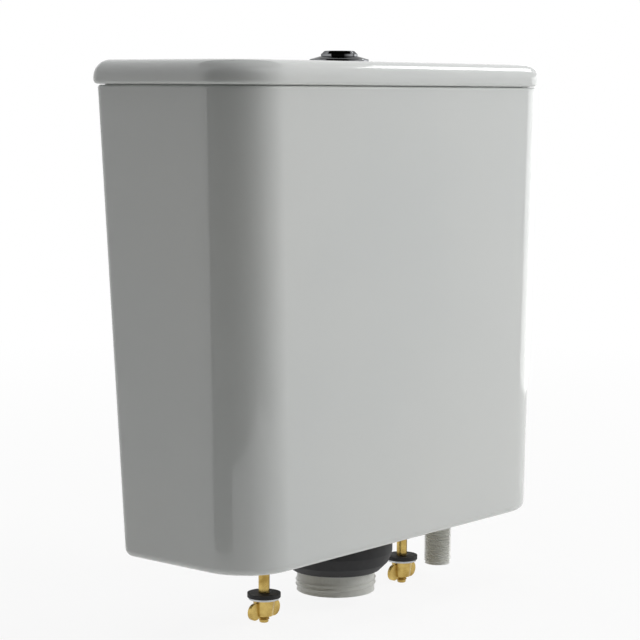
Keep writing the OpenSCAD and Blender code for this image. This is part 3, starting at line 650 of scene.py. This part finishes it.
ridgeSet = {
    "start": 0.6,  # first turn above the lower end, in pitches
    "half": 0.42,  # half of the ridge's foot, in pitches, under 0.5 so that turns stay apart
    "spare": 1.3,  # left plain at the two ends together, in pitches
    "sides": 4,
    "smooth": 25,
    "endReach": 0.1 * mm,
    "rodReach": 0.05 * mm,
    "seam": 0.001 * mm,
    "sliver": 0.03 * mm,
}


def windRidge(x, y, size, ridge):
    low, high = size["z"]
    depth, pitch = size["crest"] - size["root"], size["pitch"]
    start = low + ridge["start"] * pitch
    coil = openRing(ridge["sides"], depth, (size["root"], 0, start))
    bpy.ops.object.mode_set(mode="EDIT")
    bpy.ops.mesh.select_all(action="SELECT")
    bpy.ops.transform.resize(value=(1, 1, ridge["half"] * pitch / depth), center_override=(0, 0, start))
    bpy.ops.object.mode_set(mode="OBJECT")
    windUp(coil, size["steps"], int((high - low) / pitch - ridge["spare"]), pitch, (x, y, 0))
    return coil


def mergeClose(reach):
    bpy.ops.object.mode_set(mode="EDIT")
    bpy.ops.mesh.select_all(action="SELECT")
    bpy.ops.mesh.remove_doubles(threshold=reach)
    bpy.ops.mesh.dissolve_degenerate(threshold=reach)
    bpy.ops.object.mode_set(mode="OBJECT")


def makeThread(name, size, ridge):
    selectOnly(nodes[size["node"]])
    bpy.ops.object.duplicate()
    rod = bpy.context.active_object
    rod.name = name
    bpy.ops.object.parent_clear(type="CLEAR_KEEP_TRANSFORM")
    mergeClose(ridge["seam"])
    low, high = size["z"]
    share = size["root"] / size["rod"]
    for x, y in size["axes"]:
        pick(rod, "VERT", lambda p: low - ridge["endReach"] < p.z < high + ridge["endReach"]
             and abs(math.hypot(p.x - x, p.y - y) - size["rod"]) < ridge["rodReach"])
        bpy.ops.transform.resize(value=(share, share, 1), center_override=(x, y, 0))
        bpy.ops.object.mode_set(mode="OBJECT")
        cutWith(rod, windRidge(x, y, size, ridge), "UNION")
    mergeClose(ridge["sliver"])
    dress(rod, finishes[size["slot"]])
    evenShade(rod, ridge["smooth"])
    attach(rod, "tank_body")
    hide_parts(size["node"])
    print("thread made:", name, len(rod.data.polygons), "faces")


for name, size in threadSet.items():
    makeThread(name, size, ridgeSet)


floorSet = {
    "size": 14,
    "tone": "#f2f2f0",
    "tooth": 3 * mm,
    "fade": (0.3, 1.6),  # how far out the shadow fades away
    "glow": (0.9, 1),
}
worldSet = {"ambient": 0.02}
lampAim = Vector((0, 0, 0.17))
lampSet = {
    "keyLamp": {"place": (1.32, -1.57, 1.1), "size": (1.2, 1.2), "power": 24.3, "mirrored": False},
    "fillLamp": {"place": (-0.95, 1.75, 0.45), "size": (1.2, 0.9), "power": 2.7, "mirrored": False},
    "backLamp": {"place": (0.45, 2.1, 0.8), "size": (1.2, 0.9), "power": 10.5, "mirrored": False},
    "topLamp": {"place": (0, 0, 2.4), "size": (2, 2), "power": 22, "mirrored": False},
    "rimLamp": {"place": (1.924, -0.135, 1.588), "size": (0.58, 0.52), "power": 5, "mirrored": True},
    "stripLamp": {"place": (1.06, -0.02, 0.25), "size": (1.15, 0.6), "power": 4, "mirrored": True,
                  "lights": False},
}
cardSet = {
    "darkCard": {"place": (-0.554, -0.736, 0.6), "aim": (0.161, -0.5105, 0.6), "size": (1.93, 1.4),
                 "tones": ((0, "#181818"), (1, "#181818"))},
    "leftCard": {"place": (-0.41, -0.037, 0.2), "aim": (-0.14, -0.03, 0.2), "size": (0.18, 0.5),
                 "tones": ((0, "#181818"), (1, "#181818"))},
    "rightCard": {"place": (0, -0.92, 0.45), "aim": (-0.14, -0.03, 0.45), "size": (0.8, 1),
                  "tones": ((0, "#ffffff"), (1, "#181818"))},
    "ceilingCard": {"place": (0.05, 0.04, 1.45), "aim": (0.05, 0.04, 0), "size": (1.8, 1.8),
                    "tones": ((0, "#0b0b0b"), (1, "#0b0b0b"))},
}


# 1 where the camera, a mirror or glass looks, 0 where light is gathered
def seenRays(owner):
    path = addNode(owner, "LightPath", {}).outputs
    seen = path["Is Camera Ray"]
    for kind in ("Is Glossy Ray", "Is Transmission Ray"):
        seen = addNode(owner, "Math", {0: seen, 1: path[kind]}, operation="MAXIMUM").outputs[0]
    return seen


def emptyNodes(owner):
    owner.use_nodes = True
    owner.node_tree.nodes.clear()
    return owner


# plain paper with a faint tooth, which keeps the shadow close in and glows white further out
def makeFloor(size):
    bpy.ops.object.select_all(action="DESELECT")
    bpy.ops.mesh.primitive_plane_add(size=size["size"], location=(0, 0, 0))
    floor = bpy.context.active_object
    floor.name = "studioFloor"
    bpy.ops.object.mode_set(mode="EDIT")
    bpy.ops.transform.translate(value=(0, 0, cadBox[0].z))
    bpy.ops.object.mode_set(mode="OBJECT")
    paper = emptyNodes(bpy.data.materials.new("whitePaperSweep"))
    place = addNode(paper, "TexCoord", {}).outputs["Object"]
    tooth = addNode(paper, "TexNoise", {"Vector": place, "Scale": 1 / size["tooth"], "Detail": 2})
    bump = addNode(paper, "Bump", {"Height": tooth.outputs["Fac"], "Strength": 0.05,
                                   "Distance": 0.1 * mm})
    sheet = addNode(paper, "BsdfDiffuse", {"Color": hexColour(size["tone"]),
                                           "Normal": bump.outputs["Normal"]})
    glow = addNode(paper, "Emission", {"Color": hexColour("#ffffff"), "Strength": 1})
    away = addNode(paper, "VectorMath", {0: place}, operation="LENGTH")
    fade = addNode(paper, "MapRange", {"Value": away.outputs["Value"], "From Min": size["fade"][0],
                                       "From Max": size["fade"][1], "To Min": size["glow"][0],
                                       "To Max": size["glow"][1]})
    share = addNode(paper, "Math", {0: seenRays(paper), 1: fade.outputs["Result"]},
                    operation="MULTIPLY")
    mix = addNode(paper, "MixShader", {0: share.outputs[0], 1: sheet.outputs[0], 2: glow.outputs[0]})
    addNode(paper, "OutputMaterial", {"Surface": mix.outputs[0]})
    floor.data.materials.append(paper)


# white to look at, with little light of its own
def makeWorld(size):
    world = emptyNodes(bpy.data.worlds.new("studioWorld"))
    bpy.context.scene.world = world
    level = addNode(world, "MapRange", {"Value": seenRays(world), "To Min": size["ambient"],
                                        "To Max": 1})
    sky = addNode(world, "Background", {"Color": hexColour("#ffffff"),
                                        "Strength": level.outputs["Result"]})
    addNode(world, "OutputWorld", {"Surface": sky.outputs[0]})


def makeLamp(name, lamp):
    bpy.ops.object.select_all(action="DESELECT")
    bpy.ops.object.light_add(type="AREA", location=lamp["place"])
    made = bpy.context.active_object
    made.name = name
    made.data.shape = "RECTANGLE"
    made.data.size, made.data.size_y = lamp["size"]
    made.data.energy = lamp["power"]
    made.visible_glossy = lamp["mirrored"]
    made.visible_diffuse = lamp.get("lights", True)
    made.visible_camera = False
    made.rotation_euler = (lampAim - Vector(lamp["place"])).to_track_quat("-Z", "Y").to_euler()


# boards that only mirrors see, so that the glaze and the chrome have something dark to show
def makeCard(name, card):
    bpy.ops.object.select_all(action="DESELECT")
    bpy.ops.mesh.primitive_plane_add(size=1, location=card["place"])
    board = bpy.context.active_object
    board.name = name
    board.scale = (*card["size"], 1)
    facing = Vector(card["aim"]) - Vector(card["place"])
    board.rotation_euler = facing.to_track_quat("Z", "Y").to_euler()
    cloth = emptyNodes(bpy.data.materials.new(name + "Cloth"))
    place = addNode(cloth, "TexCoord", {}).outputs["Object"]
    across = addNode(cloth, "SeparateXYZ", {"Vector": place})
    share = addNode(cloth, "Math", {0: across.outputs["X"], 1: 0.5})  # 0 to 1 from edge to edge
    tone = addNode(cloth, "ValToRGB", {"Fac": share.outputs[0]}, card["tones"])
    paint = addNode(cloth, "Emission", {"Color": tone.outputs["Color"], "Strength": 1})
    addNode(cloth, "OutputMaterial", {"Surface": paint.outputs[0]})
    board.data.materials.append(cloth)
    board.visible_camera = board.visible_diffuse = board.visible_shadow = False


makeFloor(floorSet)
makeWorld(worldSet)
for name, lamp in lampSet.items():
    makeLamp(name, lamp)
for name, card in cardSet.items():
    makeCard(name, card)
bpy.context.scene.view_settings.view_transform = "Standard"
print("stage made")
